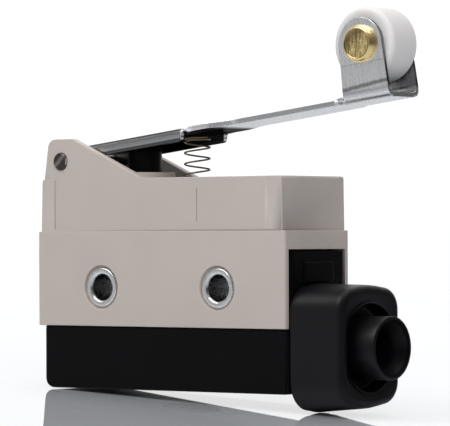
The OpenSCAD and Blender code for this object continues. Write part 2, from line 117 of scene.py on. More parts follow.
def new_piece(name, bm, body, slot, node, sharp=35.0, material=None):
    """Turns a bmesh in millimetres into a piece; edges over sharp degrees stay crisp."""
    bmesh.ops.remove_doubles(bm, verts=bm.verts, dist=1e-4)
    obj = add_object(name, bm, material or MATERIALS[slot])
    obj.data.set_sharp_from_angle(angle=math.radians(sharp))
    return place_piece(obj, body, node)


def keep_flats_flat(obj):
    """Weighted normals, so that rounded edges don't shade the faces beside them."""
    modifier = obj.modifiers.new("normals", "WEIGHTED_NORMAL")
    modifier.keep_sharp = True


def add_loft(bm, rings, loop=False):
    """Quads between closed rings of as many points; the last ring joins the first, or both are filled."""
    rows = [[bm.verts.new(p) for p in ring] for ring in rings]
    count = len(rows[0])
    following = rows[1:] + rows[:1] if loop else rows[1:]
    for a, b in zip(rows, following):
        for i in range(count):
            j = (i + 1) % count
            bm.faces.new((a[i], a[j], b[j], b[i]))
    if not loop:
        bm.faces.new(list(reversed(rows[0])))
        bm.faces.new(rows[-1])


def arc(cx, cy, r, a0, a1, n):
    """n + 1 points of an arc in a plane, angles in degrees."""
    out = []
    for i in range(n + 1):
        a = math.radians(a0 + (a1 - a0) * i / n)
        out.append((cx + r * math.cos(a), cy + r * math.sin(a)))
    return out


def mirrored(side):
    """A turned profile of one end, and the same for the other end."""
    return side + [(r, -h) for r, h in reversed(side)]


AXIS_R = 0.002


def revolve_rings(profile, steps, place):
    """Rings of a turned shape: profile is (radius, height) pairs, place maps (a, b, height) to a point."""
    rings = []
    for r, h in profile:
        r = max(r, AXIS_R)
        turns = [2 * math.pi * i / steps for i in range(steps)]
        rings.append([place(r * math.cos(a), r * math.sin(a), h) for a in turns])
    return rings


def on_lever(u, y, w):
    """A point of the lever's own frame, u along it and w square to it, in the row frame."""
    c, s = math.cos(LEVER_RISE), math.sin(LEVER_RISE)
    return (PIN_X + u * c - w * s, y, PIN_Z + u * s + w * c)


def on_roller(a, b, h):
    """A point from the roller's axis, h across the lever, in the row frame."""
    return on_lever(ROLLER_REACH + a, h, ROLLER_LIFT + b)


WELD, FLAT_ANGLE, CORNER_ANGLE, CRISP_ANGLE = 2e-3, 0.7, 30.0, 40.0


def rounded_copy(node, name, slot, width, pick):
    """A copy of a CAD node with its picked outer corners rounded, as a moulding has them."""
    bm = bmesh.new()
    bm.from_mesh(NODES[node].data)
    bmesh.ops.scale(bm, vec=(1 / MM, 1 / MM, 1 / MM), verts=bm.verts)
    bmesh.ops.remove_doubles(bm, verts=bm.verts, dist=WELD)
    bmesh.ops.dissolve_limit(bm, angle_limit=math.radians(FLAT_ANGLE), verts=bm.verts, edges=bm.edges)
    corner = math.radians(CORNER_ANGLE)
    edges = [e for e in bm.edges
             if len(e.link_faces) == 2 and e.calc_face_angle(0.0) >= corner and e.is_convex
             and pick((e.verts[0].co + e.verts[1].co) / 2)]
    bmesh.ops.bevel(bm, geom=edges, offset=width, offset_type="OFFSET", segments=3,
                    profile=0.5, affect="EDGES", clamp_overlap=False)
    keep_flats_flat(new_piece(name, bm, NODES[node]["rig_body"], slot, node, CRISP_ANGLE))


# ---------- materials ----------

class Shader:
    """A node material built up step by step; positions are in metres."""

    def __init__(self, name, sockets):
        self.material = bpy.data.materials.new(name)
        self.material.use_nodes = True
        self.tree = self.material.node_tree
        self.bsdf = self.tree.nodes["Principled BSDF"]
        self.place = self.node("ShaderNodeTexCoord").outputs["Object"]
        for key, value in sockets.items():
            self.bsdf.inputs[key].default_value = value

    def node(self, kind, **settings):
        made = self.tree.nodes.new(kind)
        for key, value in settings.items():
            setattr(made, key, value)
        return made

    def link(self, a, b):
        self.tree.links.new(a, b)

    def noise(self, scale, detail=3.0, stretch=None, turn=0.0):
        """Noise of 0 to 1, drawn out along the axes where stretch is under 1, after a turn about Y."""
        where = self.place
        if stretch:
            mapping = self.node("ShaderNodeMapping")
            mapping.inputs["Scale"].default_value = stretch
            mapping.inputs["Rotation"].default_value = (0, turn, 0)
            self.link(where, mapping.inputs["Vector"])
            where = mapping.outputs["Vector"]
        made = self.node("ShaderNodeTexNoise")
        made.inputs["Scale"].default_value = scale
        made.inputs["Detail"].default_value = detail
        self.link(where, made.inputs["Vector"])
        return made.outputs["Fac"]

    def ramp(self, fac, stops):
        made = self.node("ShaderNodeValToRGB")
        elements = made.color_ramp.elements
        while len(elements) < len(stops):
            elements.new(0.5)
        for element, (at, rgb) in zip(elements, stops):
            element.position = at
            element.color = (*rgb, 1)
        self.link(fac, made.inputs["Fac"])
        return made.outputs["Color"]

    def span(self, fac, low, high, out_low, out_high):
        """fac from low to high becomes out_low to out_high."""
        made = self.node("ShaderNodeMapRange")
        for key, value in (("From Min", low), ("From Max", high), ("To Min", out_low), ("To Max", out_high)):
            made.inputs[key].default_value = value
        self.link(fac, made.inputs["Value"])
        return made.outputs["Result"]

    def span_mm(self, fac, low, high, out_low, out_high):
        """The same for a length, with low and high in millimetres."""
        return self.span(fac, low * MM, high * MM, out_low, out_high)

    def math(self, operation, a, b=0.0, c=0.0):
        made = self.node("ShaderNodeMath", operation=operation)
        for socket, value in zip(made.inputs, (a, b, c)):
            if isinstance(value, (int, float)):
                socket.default_value = value
            else:
                self.link(value, socket)
        return made.outputs["Value"]

    def product(self, first, *others):
        for other in others:
            first = self.math("MULTIPLY", first, other)
        return first

    def distance(self, a, b):
        """How far a is from b, either way."""
        return self.math("ABSOLUTE", self.math("SUBTRACT", a, b))

    def length(self, a, b):
        """Length of the diagonal with sides a and b."""
        return self.math("SQRT", self.math("ADD", self.product(a, a), self.product(b, b)))

    def mix(self, fac, low, high):
        """low where fac is 0, high where it is 1."""
        return self.math("MULTIPLY_ADD", self.math("SUBTRACT", high, low), fac, low)

    def split(self, vector):
        made = self.node("ShaderNodeSeparateXYZ")
        self.link(vector, made.inputs["Vector"])
        return made.outputs

    def from_axis(self, cx, cz):
        """Distances in X and in Z from an axis along Y, whose place is in millimetres."""
        x, _, z = self.split(self.place)
        return self.math("SUBTRACT", x, cx * MM), self.math("SUBTRACT", z, cz * MM)

    def tint(self, rgb, factor):
        """Base colour: rgb times a factor socket."""
        made = self.node("ShaderNodeVectorMath", operation="SCALE")
        made.inputs[0].default_value = rgb
        self.link(factor, made.inputs["Scale"])
        self.link(made.outputs["Vector"], self.bsdf.inputs["Base Color"])

    def mottle(self, rgb, spread, scale, detail):
        """Base colour: rgb, a little darker and lighter in soft patches."""
        cloud = self.noise(scale, detail)
        dark, light = (tuple(min(1.0, c * k) for c in rgb) for k in (1 - spread, 1 + spread))
        self.link(self.ramp(cloud, [(0.3, dark), (0.7, light)]), self.bsdf.inputs["Base Color"])
        return cloud

    def roughness(self, fac, low, high):
        self.link(self.span(fac, 0.3, 0.7, low, high), self.bsdf.inputs["Roughness"])

    def bump(self, *layers):
        """Each layer is (height socket, strength, depth in metres)."""
        last = None
        for fac, strength, depth in layers:
            made = self.node("ShaderNodeBump")
            made.inputs["Strength"].default_value = strength
            made.inputs["Distance"].default_value = depth
            self.link(fac, made.inputs["Height"])
            if last is not None:
                self.link(last, made.inputs["Normal"])
            last = made.outputs["Normal"]
        self.link(last, self.bsdf.inputs["Normal"])


def plastic(name, rgb, rough, grain_scale, grain_depth, spread, sockets=None):
    """Moulded surface: fine grain with a coarser one under it."""
    s = Shader(name, sockets or {})
    fine = s.noise(grain_scale, 2.0)
    s.mottle(rgb, spread, 90.0, 3.0)
    s.roughness(fine, rough - 0.06, rough + 0.06)
    s.bump((fine, 0.5, grain_depth), (s.noise(grain_scale * 0.21, 2.0), 0.3, grain_depth * 2))
    return s.material


def metal(name, rgb, rough, depth=3e-6):
    """Worked metal: fine grain and soft clouds."""
    s = Shader(name, {"Metallic": 1.0})
    grain = s.noise(900.0, 4.0)
    cloud = s.mottle(rgb, 0.06, 220.0, 4.0)
    s.roughness(grain, rough - 0.07, rough + 0.09)
    s.bump((grain, 0.6, depth), (cloud, 0.2, depth * 4))
    return s.material


# Painted light and shade on a flange's outer side, from its top bend (0) to its lower edge (1)
FLANGE_SHADING = [(0.0, 0.24), (0.13, 0.25), (0.26, 0.26), (0.33, 0.32), (0.5, 0.45), (0.62, 0.54),
                (0.7, 0.57), (0.76, 0.35), (0.8, 0.07), (0.87, 0.14), (0.95, 0.18), (1.0, 0.06)]


def lever_steel():
    """Rolled sheet with painted light and shade: tone follows the place on the pressing and which way each face
    looks.
    """
    s = Shader("stainless_steel", {"Metallic": 1.0})
    to_pin = s.node("ShaderNodeVectorMath", operation="SUBTRACT")
    to_pin.inputs[1].default_value = (PIN_X * MM, 0, PIN_Z * MM)
    s.link(s.place, to_pin.inputs[0])
    turned = []
    for source in (to_pin.outputs["Vector"], s.node("ShaderNodeTexCoord").outputs["Normal"]):
        turn = s.node("ShaderNodeVectorRotate", rotation_type="Y_AXIS")
        turn.inputs["Angle"].default_value = LEVER_RISE
        s.link(source, turn.inputs["Vector"])
        turned.append(turn.outputs["Vector"])
    s.place = turned[0]
    u, y, w = s.split(turned[0])
    _, ny, nw = s.split(turned[1])

    # which side of the sheet a face is on: 1 where it is, 0 where it isn't
    outward = s.math("MULTIPLY", ny, s.math("SIGN", s.math("ADD", y, -BRACKET_SHIFT * MM)))
    outer = s.span(outward, 0.35, 0.6, 0.0, 1.0)
    inner = s.span(outward, -0.35, -0.6, 0.0, 1.0)
    under = s.span(nw, -0.5, -0.8, 0.0, 1.0)

    drop = s.span_mm(w, LEVER_TOP, FLANGE_W, 0.0, 1.0)
    flange = s.split(s.ramp(drop, [(at, (k, k, k)) for at, k in FLANGE_SHADING]))[0]
    # painted shade: the channel's inner and under faces dark, its top light, its outer faces painted as the
    # flange list gives
    channel_shading = s.mix(outer, s.mix(inner, s.mix(under, 0.95, 0.1), 0.085), flange)

    # painted shade on the strip's outer side faces past the taper and under the wide plate
    edge = s.mix(outer, 0.95, s.span_mm(u, TAPER_END, TAPER_END + 1.2, 1.0, 0.66))
    under_plate_shade = s.span_mm(u, TAPER_START, TAPER_START + 2.5, 0.05, 0.9)
    strip_shading = s.mix(under, edge, under_plate_shade)

    # painted shade on the bracket's ears: a dark slanting band above the bend, a darker line along the fine
    # crease, dark cut edges and darker inner sides
    slant = s.span_mm(u, BRACKET_U0, LEVER_END, 3.6 * MM, 4.15 * MM)
    wander = s.math("MULTIPLY_ADD", s.noise(700.0), 0.5 * MM, -0.25 * MM)
    painted_band = s.span_mm(s.distance(w, s.math("ADD", slant, wander)), 0.2, 0.45, 0.4, 1.0)
    crease_shade = s.span_mm(s.distance(w, CREASE_W * MM), 0.03, 0.15, 0.75, 1.0)
    cut_edge_shade = s.span(s.math("ABSOLUTE", ny), 0.45, 0.8, 0.25, 1.0)
    ear_shading = s.mix(inner, s.product(painted_band, crease_shade, cut_edge_shade, 0.97), 0.42)

    in_channel = s.span_mm(u, CHANNEL_END - 0.12, CHANNEL_END - 0.08, 1.0, 0.0)
    in_ear = s.span_mm(w, LEVER_TOP + 0.7, LEVER_TOP + 1.1, 0.0, 1.0)
    tone = s.mix(in_ear, s.mix(in_channel, strip_shading, channel_shading), ear_shading)
    along = s.noise(5200.0, 3.0, (0.012, 1, 1))
    upright = s.noise(5200.0, 3.0, (1, 1, 0.03))
    grain = s.mix(in_ear, along, upright)
    tone = s.product(tone, s.span(grain, 0.3, 0.7, 0.95, 1.04))
    # the painted light and shade, times the brushed grain, tints both the colour and the reflection
    s.tint((0.985, 0.99, 1.0), tone)
    s.link(tone, s.bsdf.inputs["Specular Tint"])
    s.roughness(grain, 0.22, 0.34)
    s.bump((grain, 0.2, 1e-6))
    return s.material


def rivet_brass():
    """Pressed head: a crossed pattern of fine strokes with painted glints on them, painted shade towards its
    upper left and a darker painted ring in the groove round the face.
    """
    s = Shader("rivet_brass", {"Metallic": 1.0})
    cx, _, cz = on_roller(0, 0, 0)
    dx, dz = s.from_axis(cx, cz)
    radius = s.length(dx, dz)
    # painted shade: darker towards the upper left and at the groove, with painted glints on the strokes
    shadow = s.span_mm(s.math("SUBTRACT", dx, dz), -2.2, 0.2, 0.4, 1.05)
    face = s.span_mm(radius, 2.2, 2.4, 1.0, 0.0)
    groove = s.span_mm(s.distance(radius, 2.36 * MM), 0.04, 0.16, 0.35, 1.0)
    strokes = s.product(*(s.noise(2600.0, 2.0, (1, 1, 0.16), turn) for turn in (0.7, -0.6)))
    stroke_glint = s.span(strokes, 0.17, 0.31, 0.5, 1.15)
    s.tint((0.95, 0.72, 0.34), s.product(s.mix(face, 1.0, s.product(shadow, stroke_glint)), groove))
    s.roughness(strokes, 0.27, 0.37)
    s.bump((strokes, 0.5, 2e-5))
    return s.material


def pin_steel():
    """Cut end of the pin: dark, with a painted reflection as a paler diagonal streak and a painted highlight on
    its right edge.
    """
    s = Shader("pin_steel", {"Metallic": 1.0})
    dx, dz = s.from_axis(PIN_X, PIN_Z)
    wander = s.product(s.noise(900.0), 0.5 * MM)
    # painted reflection along a diagonal streak, and a painted highlight on the right edge
    reflection_streak = s.math("ABSOLUTE", s.math("ADD", s.math("SUBTRACT", dx, dz), wander))
    painted_band = s.span_mm(reflection_streak, 0.1, 0.7, 0.8, 0.22)
    edge_highlight = s.span_mm(dx, 1.26, 1.36, 0.0, 1.0)
    s.tint((0.40, 0.365, 0.34), s.mix(edge_highlight, painted_band, 1.9))
    grain = s.noise(2400.0)
    s.roughness(grain, 0.3, 0.45)
    s.bump((grain, 0.4, 3e-6))
    return s.material


def bushing_steel():
    """Plating: brighter on the lip, with painted shade darkening it inside the bore."""
    s = Shader("bushing_steel", {"Metallic": 1.0})
    x, _, z = s.split(s.place)
    radius = s.length(s.math("SUBTRACT", s.math("ABSOLUTE", x), HOLE_X * MM), z)
    # painted shade inside the bore
    tone = s.span_mm(radius, 2.2, 2.5, 0.5, 0.95)
    grain = s.noise(1500.0)
    s.tint((0.93, 0.93, 0.92), s.product(tone, s.span(grain, 0.3, 0.7, 0.9, 1.0)))
    s.roughness(grain, 0.2, 0.32)
    s.bump((grain, 0.3, 2e-6))
    return s.material


# colour, roughness, grain scale, grain depth in metres, spread of the colour, other sockets
PLASTICS = {
    "beige_plastic": ((0.484, 0.430, 0.396), 0.52, 5200.0, 6e-6, 0.025, {"IOR": 1.4}),
    "black_plastic": ((0.0010, 0.0010, 0.0015), 0.40, 4200.0, 4e-6, 0.2, {"IOR": 1.21}),
    "cap_rubber": ((0.0022, 0.0016, 0.0026), 0.42, 3000.0, 1e-5, 0.15, {"IOR": 1.34}),
    "seal_rubber": ((0.0025, 0.0023, 0.0022), 0.45, 2600.0, 8e-6, 0.2, {"IOR": 1.25}),
    "phenolic": ((0.11, 0.035, 0.022), 0.45, 2400.0, 8e-6, 0.15),
    "red_plastic": ((0.42, 0.03, 0.02), 0.35, 3000.0, 4e-6, 0.08),
    "bush_plastic": ((0.72, 0.67, 0.56), 0.4, 3000.0, 4e-6, 0.04),
    "white_plastic": ((0.70, 0.685, 0.68), 0.5, 2600.0, 4e-6, 0.02,
                      {"IOR": 1.33, "Subsurface Weight": 0.12, "Subsurface Scale": 0.0012}),
}
# colour, roughness and, where it isn't the usual one, grain depth in metres
METALS = {
    "plated_steel": ((0.80, 0.80, 0.80), 0.24, 2e-6),
    "spring_steel": ((0.5, 0.5, 0.5), 0.3),
    "bronze_wire": ((0.34, 0.28, 0.21), 0.38),
    "brass": ((0.78, 0.56, 0.22), 0.3),
    "copper_alloy": ((0.75, 0.42, 0.22), 0.3),
    "silver": ((0.86, 0.85, 0.82), 0.25),
}
MATERIALS = {"pin_steel": pin_steel(), "stainless_steel": lever_steel(), "rivet_brass": rivet_brass()}
MATERIALS.update((name, plastic(name, *facts)) for name, facts in PLASTICS.items())
MATERIALS.update((name, metal(name, *facts)) for name, facts in METALS.items())

for row in frame["record"]["subparts"]:
    node = NODES[row["node"]]
    node.data.materials.clear()
    node.data.materials.append(MATERIALS[row["material_slot"]])


# ---------- housing ----------

DIVIDER_X = 8.05


def upper_corner(mid):
    """Outer corners above the seam, except the fine divider grooves, which are too narrow."""
    outer = abs(mid.y) > 6.6 or mid.x > 25.6 or mid.x < -25.2 or mid.z > ROOF_Z - 0.2
    groove = abs(mid.x - DIVIDER_X) < 0.3 and abs(mid.y) > PANEL_Y - 0.3 and mid.z < 17
    return mid.z > PANEL_Z + 0.1 and outer and not groove


def lower_corner(mid):
    return abs(mid.y) > 7.7 or abs(mid.x) > 26.0


def cover_corner(mid):
    """Outer corners of the cover, except the tongue's top and the spigot inside the cap."""
    outer = abs(mid.y) > 7.0 or mid.x > 26.9 or mid.x < -25.5 or mid.z < -16.9
    return outer and mid.z < 6 and not (mid.x > 27.3 and mid.z < 0.5)


rounded_copy("upper_case", "upper_case_moulding", "beige_plastic", 0.14, upper_corner)
rounded_copy("lower_case", "lower_case_moulding", "beige_plastic", 0.12, lower_corner)
rounded_copy("terminal_cover", "terminal_cover_moulding", "black_plastic", 0.3, cover_corner)

# bushings: a tube between two flared lips, sunk a little below the pads
LIP_R, LIP_EDGE_R, TUBE_R, MOUTH_R = 3.3, 0.17, 2.9, 0.55
LIP_UNDER, LIP_FACE = CASE_Y - 0.55, CASE_Y - 0.15
side = [(TUBE_R, 0), (TUBE_R, LIP_UNDER - 0.05), (LIP_R, LIP_UNDER)]
side += arc(LIP_R - LIP_EDGE_R, LIP_FACE - LIP_EDGE_R, LIP_EDGE_R, 0, 90, 5)
side += arc(BORE_R + MOUTH_R, LIP_FACE - MOUTH_R, MOUTH_R, 90, 180, 8) + [(BORE_R, 0)]
bm = bmesh.new()
for x in (-HOLE_X, HOLE_X):
    add_loft(bm, revolve_rings(mirrored(side), 64, lambda a, b, h: (x + a, h, b)), loop=True)
new_piece("bushings_flared", bm, "housing", "plated_steel", "mounting_bushings", material=bushing_steel())

# hinge pin, its ends just proud of the ears
PIN_PROUD, PIN_EDGE_R = 0.28, 0.12
pin_end = PANEL_Y + PIN_PROUD
side = [(0.0, pin_end)] + arc(PIN_R - PIN_EDGE_R, pin_end - PIN_EDGE_R, PIN_EDGE_R, 90, 0, 5)
bm = bmesh.new()
add_loft(bm, revolve_rings(mirrored(side), 48, lambda a, b, h: (PIN_X + a, h, PIN_Z + b)))
new_piece("hinge_pin_turned", bm, "housing", "pin_steel", "hinge_pin")

# rubber boot over the plunger, from its flange under the bush up to its crown
profile = [(2.02, 17.8), (4.5, 17.8), (4.5, 18.38), (3.12, 18.4), (2.96, 18.55), (2.93, 19.4)]
profile += [(2.95, 20.6), (2.95, 22.6), (2.94, 23.1), (2.88, 23.45), (2.74, 23.7), (2.5, 23.9)]
profile += [(2.1, 24.04), (1.6, 24.13), (1.0, 24.17), (0.5, 24.185), (0.0, 24.185)]
bm = bmesh.new()
add_loft(bm, revolve_rings(profile, 64, lambda a, b, h: (PLUNGER_X + a, b, h)))
boot = new_piece("plunger_boot_moulded", bm, "housing", "seal_rubber", "plunger_boot")
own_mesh(boot)


# ---------- cable cap: rings round the inlet's axis, laid from the cover outwards ----------

CAP_STEPS = 96
CAP_ANGLES = [2 * math.pi * i / CAP_STEPS for i in range(CAP_STEPS)]


def cap_section(top, bottom, half, top_r, foot_r, crown):
    """Outline of the cap's block, one point for each angle round the inlet's axis."""
    top_z, foot_z = top - crown - top_r, bottom + crown + foot_r
    top_flat, foot_flat = half - top_r, half - foot_r
    bow = [1 - 2 * i / 12 for i in range(1, 12)]
    outline = arc(foot_flat, foot_z, foot_r, -90, 0, 16)
    outline += arc(top_flat, top_z, top_r, 0, 90, 16)
    outline += [(top_flat * k, top - crown * k ** 2) for k in bow]
    outline += arc(-top_flat, top_z, top_r, 90, 180, 16)
    outline += arc(-foot_flat, foot_z, foot_r, 180, 270, 16)
    outline += [(-foot_flat * k, bottom + crown * k ** 2) for k in bow]
    ring = []
    for a in CAP_ANGLES:
        dy, dz = math.cos(a), math.sin(a)
        reach = 0.0
        for (y0, z0), (y1, z1) in zip(outline, outline[1:] + outline[:1]):
            ey, ez = y1 - y0, z1 - z0
            det = dz * ey - dy * ez
            if abs(det) < 1e-12:
                continue
            rz = z0 - INLET_Z
            out = (rz * ey - y0 * ez) / det
            share = (dy * rz - dz * y0) / det
            if -1e-9 <= share <= 1 + 1e-9:
                reach = max(reach, out)
        ring.append((reach * dy, INLET_Z + reach * dz))
    return ring


def shrink(ring, by):
    """Moves each point of an outline inwards by about that much."""
    out = []
    for i, (y, z) in enumerate(ring):
        (ya, za), (yb, zb) = ring[i - 1], ring[(i + 1) % len(ring)]
        ty, tz = yb - ya, zb - za
        length = math.hypot(ty, tz)
        out.append((y - tz / length * by, z + ty / length * by))
    return out


CAP_BACK = cap_section(CAP_TOP, CAP_BOTTOM, CAP_HALF - 0.1, 4.2, 4.8, 0.4)
CAP_FRONT = cap_section(CAP_TOP - 0.25, CAP_BOTTOM + 1.0, CAP_HALF, 3.6, 3.8, 0.4)


def block_at(k):
    """Outline of the block, k of the way from its back to its front."""
    return [(a[0] + (b[0] - a[0]) * k, a[1] + (b[1] - a[1]) * k) for a, b in zip(CAP_BACK, CAP_FRONT)]


BACK_EDGE_R, FRONT_EDGE_R = 0.4, 1.25
GROOVE_R, GROOVE_EDGE_R, NOZZLE_R = 7.2, 0.35, 5.2
FUNNEL_R, FUNNEL_DEPTH, SPIGOT_R = 4.75, 2.9, 5.65
cap_end = COVER_X1 + CAP_L
rim = cap_end + NOZZLE_L
groove_floor = cap_end - 3.4
back_x = COVER_X1 + 0.02

layers = [(back_x, shrink(block_at(0), BACK_EDGE_R + 0.1))]
for x, dy in arc(back_x + BACK_EDGE_R, 0, BACK_EDGE_R, 180, 90, 4):
    layers.append((x, shrink(block_at(0), BACK_EDGE_R - dy)))
for k in (0.15, 0.35, 0.6, 0.85):
    layers.append((COVER_X1 + CAP_L * k, block_at(k)))
for x, dy in arc(cap_end - FRONT_EDGE_R, 0, FRONT_EDGE_R, 90, 0, 8):
    layers.append((x, shrink(block_at(1), FRONT_EDGE_R - dy)))

# the round part: (x, radius) from the groove's mouth to the nozzle's rim and back through the funnel
turned = [(cap_end - GROOVE_EDGE_R + dx, GROOVE_R + GROOVE_EDGE_R + dr)
          for dr, dx in arc(0, 0, GROOVE_EDGE_R, 180, 90, 5)]
turned += [(groove_floor + 0.6, GROOVE_R - 0.05)]
turned += [(groove_floor + 0.6 + dx, GROOVE_R - 0.65 + dr) for dr, dx in arc(0, 0, 0.6, 0, -90, 5)]
turned += [(groove_floor + 0.5 + dx, NOZZLE_R + 0.5 + dr) for dr, dx in arc(0, 0, 0.5, -90, -180, 5)]
turned += [(groove_floor + (rim - groove_floor) * k, NOZZLE_R) for k in (0.3, 0.6, 0.85)]
turned += [(rim - 0.2 + dx, NOZZLE_R - 0.2 + dr) for dx, dr in arc(0, 0, 0.2, 90, 0, 4)]
turned += [(rim - 0.12 + dx, FUNNEL_R - 0.07 - dr / 2) for dx, dr in arc(0, 0, 0.12, 0, -80, 3)]
turned += [(rim - FUNNEL_DEPTH * k, FUNNEL_R - (FUNNEL_R - CABLE_R) * k) for k in (0.25, 0.5, 0.75, 0.92)]
turned += [(rim - 3.1, CABLE_R + 0.02), (rim - 3.6, CABLE_R), (COVER_X1 + 3.2, CABLE_R)]
turned += [(COVER_X1 + 3.15, SPIGOT_R - 0.03), (back_x, SPIGOT_R)]
for x, r in turned:
    layers.append((x, [(r * math.cos(a), INLET_Z + r * math.sin(a)) for a in CAP_ANGLES]))
bm = bmesh.new()
add_loft(bm, [[(x, y, z) for y, z in ring] for x, ring in layers], loop=True)
new_piece("cable_cap_moulded", bm, "housing", "cap_rubber", "cable_cap", sharp=50)


# ---------- lever: a flat pattern, cut along its bend lines and folded ----------

BEND_OUT, EAR_BEND_OUT = 0.95, 1.45
EAR_TOP_R = 4.32
THIN_W = LEVER_TOP + 1.0
PLATE_HALF = 5.85
LOBE_R, FLANGE_END_R, CURL_R = 2.25, 0.8, 0.9
CURL_END = CHANNEL_END + 2.2
FOLD_STEPS = 8
mid_w = LEVER_TOP - SHEET_T / 2
bend_r = BEND_OUT - SHEET_T / 2
fold_y = WIDE_Y - BEND_OUT
fold_len = bend_r * math.pi / 2
ear_bend_r = EAR_BEND_OUT - SHEET_T / 2
ear_fold_y = BRACKET_Y - EAR_BEND_OUT
ear_fold_len = ear_bend_r * math.pi / 2


def down_s(w):
    """Place across the flat pattern of a point at height w on a side flange."""
    return fold_y + fold_len + (mid_w - bend_r - w)


def up_s(w):
    """Place across the flat pattern of a point at height w on a bracket ear."""
    return ear_fold_y + ear_fold_len + (w - mid_w - ear_bend_r)


def half_pattern():
    """One half of the flat pattern's outline, from the pin's end to the roller's end."""
    notch = ear_fold_y + 0.1
    left, right = ROLLER_REACH - EAR_R, LEVER_END
    flange = [(0.6, 1.8)] + arc(0, 0, LOBE_R, 80, 250, 22) + [(1.9, -0.85), (5.0, FLANGE_W)]
    flange += arc(CHANNEL_END - FLANGE_END_R, FLANGE_W + FLANGE_END_R, FLANGE_END_R, -90, 0, 8)
    out = [(1.2, 0.0), (1.2, fold_y + 0.3)] + [(u, down_s(w)) for u, w in flange]
    out += arc(CHANNEL_END + CURL_R, PLATE_HALF + CURL_R, CURL_R, 180, 270, 10)
    out += [(TAPER_START - 0.4, PLATE_HALF), (TAPER_START + 0.5, PLATE_HALF - 0.2),
            (TAPER_END - 0.6, STRIP_HALF + 0.16), (TAPER_END + 0.4, STRIP_HALF), (BRACKET_U0 - 0.4, STRIP_HALF)]
    out += [(BRACKET_U0 - 0.4, notch + 0.2), (BRACKET_U0 - 0.25, notch), (BRACKET_U0 - 0.05, notch),
            (BRACKET_U0 + 0.1, notch + 0.2), (left, up_s(THIN_W))]
    out += [(u, up_s(w)) for u, w in arc(ROLLER_REACH - 0.15, ROLLER_LIFT, EAR_TOP_R, 182, -4, 30)]
    out += [(right, up_s(THIN_W)), (right, ear_fold_y + 0.3), (right - 0.25, ear_fold_y), (right - 0.25, 0.0)]
    return out


def slice_at(s, low, high):
    """Cuts the pattern on both sides along the lever, between two places along it."""
    for sign in (-1, 1):
        faces = [f for f in bm.faces if low < f.calc_center_median().x < high]
        geom = faces + list({e for f in faces for e in f.edges}) + list({v for f in faces for v in f.verts})
        bmesh.ops.bisect_plane(bm, geom=geom, dist=1e-5, plane_co=(0, sign * s, 0), plane_no=(0, 1, 0))


def ease(k):
    """0 to 1, slow at both ends."""
    k = min(1.0, k)
    return k * k * (3 - 2 * k)


half = half_pattern()
loops = [half + [(u, -s) for u, s in reversed(half[1:-1])]]
for centre_u, centre_s, hole in ((0.0, down_s(0.0), PIN_R + 0.06),
                                 (ROLLER_REACH, up_s(ROLLER_LIFT), RIVET_R + 0.04)):
    for sign in (-1, 1):
        loops.append(arc(centre_u, sign * centre_s, hole, 0, 345, 23))
bm = bmesh.new()
outline_edges = []
for loop in loops:
    points = [bm.verts.new((u, s, 0)) for u, s in loop]
    outline_edges += [bm.edges.new(pair) for pair in zip(points, points[1:] + points[:1])]
bmesh.ops.triangle_fill(bm, use_beauty=True, use_dissolve=False, edges=outline_edges, normal=(0, 0, 1))

for cut_u in (8.0, 16.0, 22.0, CHANNEL_END, CHANNEL_END + 0.4, CHANNEL_END + 0.8, CHANNEL_END + 1.2,
              CHANNEL_END + 1.7, CURL_END, 30.0, 40.0, 48.0, BRACKET_U0 - 2, BRACKET_U0 - 1.4,
              BRACKET_U0 - 0.9, BRACKET_U0 - 0.4, 61.5, 65.5):
    everything = list(bm.faces) + list(bm.edges) + list(bm.verts)
    bmesh.ops.bisect_plane(bm, geom=everything, dist=1e-5, plane_co=(cut_u, 0, 0), plane_no=(1, 0, 0))
for i in range(FOLD_STEPS + 1):
    slice_at(fold_y + fold_len * i / FOLD_STEPS, -10, CURL_END)
    slice_at(ear_fold_y + ear_fold_len * i / FOLD_STEPS, BRACKET_U0 - 2, 80)
for w in (THIN_W, THIN_W + 0.25, CREASE_W - 0.2, CREASE_W, CREASE_W + 0.2):
    slice_at(up_s(w), BRACKET_U0 - 0.02, 80)

thin = []
for v in bm.verts:
    u, s = v.co.x, abs(v.co.y)
    sign = 1 if v.co.y >= 0 else -1
    shift = BRACKET_SHIFT * min(1.0, max(0.0, (u - 45) / 12))
    y, w = s, mid_w
    if u < CURL_END and s > fold_y:
        bent = ease((CURL_END - u) / (CURL_END - CHANNEL_END - 0.4))
        a = min((s - fold_y) / bend_r, math.pi / 2)
        y += (fold_y + bend_r * math.sin(a) - y) * bent
        w -= (bend_r * (1 - math.cos(a)) + max(0, s - fold_y - fold_len)) * bent
    elif u > BRACKET_U0 - 2 and s > ear_fold_y:
        bent = ease((u - BRACKET_U0 + 2) / 1.95)
        a = min((s - ear_fold_y) / ear_bend_r, math.pi / 2)
        y += (ear_fold_y + ear_bend_r * math.sin(a) - y) * bent
        w += (ear_bend_r * (1 - math.cos(a)) + max(0, s - ear_fold_y - ear_fold_len)) * bent
        if w > THIN_W + 0.1:
            crease_depth = 0.05 if abs(w - CREASE_W) < 0.05 else 0
            y += (SHEET_T - EAR_T) / 2 - crease_depth
            thin.append(v)
    v.co = on_lever(u, sign * y + shift, w)
bmesh.ops.remove_doubles(bm, verts=bm.verts, dist=0.06)
bmesh.ops.dissolve_degenerate(bm, edges=bm.edges, dist=0.01)
bm.verts.index_update()
thin_index = {v.index for v in thin if v.is_valid}

